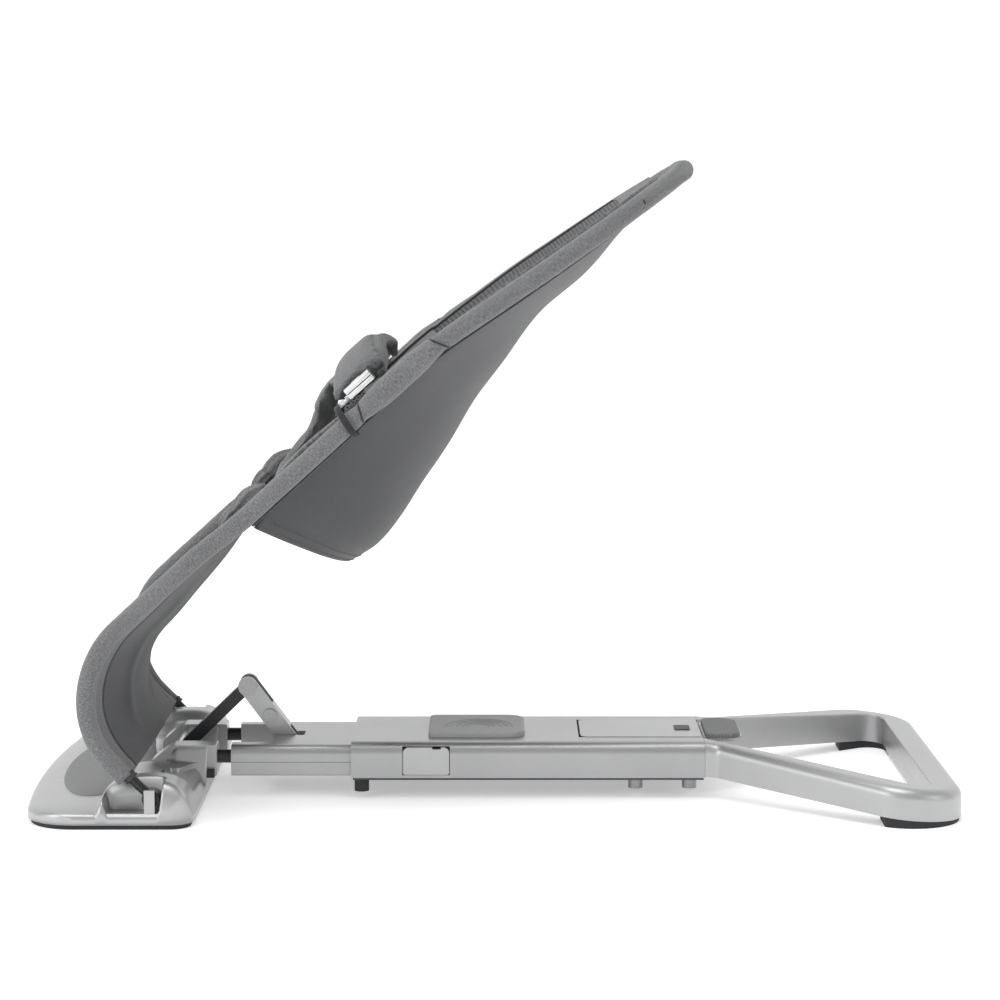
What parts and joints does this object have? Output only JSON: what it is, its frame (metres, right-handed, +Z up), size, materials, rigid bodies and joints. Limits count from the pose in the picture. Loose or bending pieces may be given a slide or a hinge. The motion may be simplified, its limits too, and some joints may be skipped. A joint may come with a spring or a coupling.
{
  "type": "bouncer seat",
  "caption": "Folding baby bouncer with a fabric sling on a wire hoop, front foot, telescopic rail with a lift strut, and a rear floor loop.",
  "frame": {"origin": "on the floor, at the middle of the overall box", "axes": "+X from the front foot to the rear loop, +Y across to the child's right, +Z up"},
  "size_m": [0.81, 0.375, 0.5661],
  "materials": {
    "silver_paint": "satin",
    "silver_plastic": "satin metallic paint",
    "dark_plastic": "matt",
    "soft_grip": "fine grain",
    "rubber": "matt",
    "steel": "satin",
    "black_steel": "semi-gloss",
    "heather_fabric": "heather jersey",
    "sling_fabric": "smooth knit",
    "mesh_fabric": "hexagonal spacer mesh",
    "strap_webbing": "woven",
    "clip_plastic": "gloss"
  },
  "bodies": {
    "housing": {"sleeve_shell": "silver_paint", "sleeve_bottom_cover": "dark_plastic", "front_pegs": "rubber", "cover_bosses": "steel", "badge_pad": "soft_grip", "button_carriers": "dark_plastic", "button_springs": "steel", "lever_pin": "steel", "lever_pivot_blocks": "dark_plastic", "lever_spring": "steel", "pedal_bracket": "dark_plastic", "loop_frame": "silver_plastic", "loop_base": "silver_plastic", "rear_sole_left": "rubber", "rear_sole_right": "rubber"},
    "lever": {"release_lever": "silver_plastic", "lever_window": "dark_plastic", "pedal_tray": "silver_plastic", "pedal_pad": "soft_grip"},
    "button_left": {"side_button_left": "silver_plastic"},
    "button_right": {"side_button_right": "silver_plastic"},
    "rail": {"rail_left": "silver_paint", "rail_right": "silver_paint", "rail_top_plate": "silver_paint", "rail_end_plate": "dark_plastic", "rod_bush_left": "dark_plastic", "rod_bush_right": "dark_plastic", "rail_glides": "dark_plastic", "pivot_block": "dark_plastic", "bracket_pin": "steel"},
    "bracket": {"lift_bracket": "silver_paint", "bracket_bolt": "steel", "pivot_caps": "steel"},
    "foot": {"foot_sole": "rubber", "foot_shell": "silver_plastic", "toe_pad": "soft_grip", "hub_cover_left": "silver_plastic", "hub_cover_right": "silver_plastic", "axle_retainers": "silver_plastic", "yoke": "silver_plastic", "guide_rod_left": "black_steel", "guide_rod_right": "black_steel", "yoke_bumpers": "rubber"},
    "seat": {"seat_axle": "black_steel", "hoop_sockets": "black_steel", "seat_hoop": "black_steel", "lift_strut": "black_steel", "rim_pad_left": "heather_fabric", "rim_pad_right": "heather_fabric", "head_roll": "heather_fabric", "sling": "sling_fabric", "seat_liner": "mesh_fabric", "leg_panel": "sling_fabric", "strap_loops": "strap_webbing"},
    "harness": {"harness_panel": "heather_fabric", "clip_body_left": "clip_plastic", "clip_body_right": "clip_plastic"},
    "clip_left": {"clip_button_left": "clip_plastic"},
    "clip_right": {"clip_button_right": "clip_plastic"}
  },
  "joints": [
    {"name": "rail_slide", "type": "slide", "parent": "housing", "child": "rail", "axis": [1, 0, 0], "range_m": [-0.06, 0.045]},
    {"name": "yoke_slide", "type": "slide", "parent": "rail", "child": "foot", "axis": [1, 0, 0], "range_m": [-0.0535, 0.0005]},
    {"name": "seat_fold", "type": "hinge", "parent": "foot", "child": "seat", "pos_m": [-0.2875, 0, 0.025], "axis": [0, 1, 0], "range_deg": [0, 38]},
    {"name": "bracket_swing", "type": "hinge", "parent": "rail", "child": "bracket", "pos_m": [-0.1805, 0, 0.0385], "axis": [0, 1, 0], "range_deg": [-57.3, 0.5]},
    {"name": "lever_press", "type": "hinge", "parent": "housing", "child": "lever", "pos_m": [0.087, 0, 0.0425], "axis": [0, 1, 0], "range_deg": [0, 5], "stiffness_Nm_per_rad": 3, "springref_deg": -8.59, "deforming": ["lever_spring"]},
    {"name": "harness_open", "type": "hinge", "parent": "seat", "child": "harness", "pos_m": [-0.19165, 0, 0.2678], "axis": [0, 1, 0], "range_deg": [-105, 0]},
    {"name": "button_press_left", "type": "slide", "parent": "housing", "child": "button_left", "axis": [0, 1, 0], "range_m": [0, 0.003], "stiffness_N_per_m": 400, "springref_m": -0.002, "deforming": ["button_springs"]},
    {"name": "clip_press_left", "type": "slide", "parent": "harness", "child": "clip_left", "axis": [0.6691, 0, -0.7431], "range_m": [0, 0.0014], "stiffness_N_per_m": 300, "springref_m": -0.002},
    {"name": "button_press_right", "type": "slide", "parent": "housing", "child": "button_right", "axis": [0, -1, 0], "range_m": [0, 0.003], "stiffness_N_per_m": 400, "springref_m": -0.002, "deforming": ["button_springs"]},
    {"name": "clip_press_right", "type": "slide", "parent": "harness", "child": "clip_right", "axis": [0.6691, 0, -0.7431], "range_m": [0, 0.0014], "stiffness_N_per_m": 300, "springref_m": -0.002}
  ],
  "couplings": [
    {"joint": "yoke_slide", "follows": "seat_fold", "m_per_rad": -0.079159},
    {"joint": "bracket_swing", "follows": "seat_fold", "ratio": -1.4816}
  ]
}
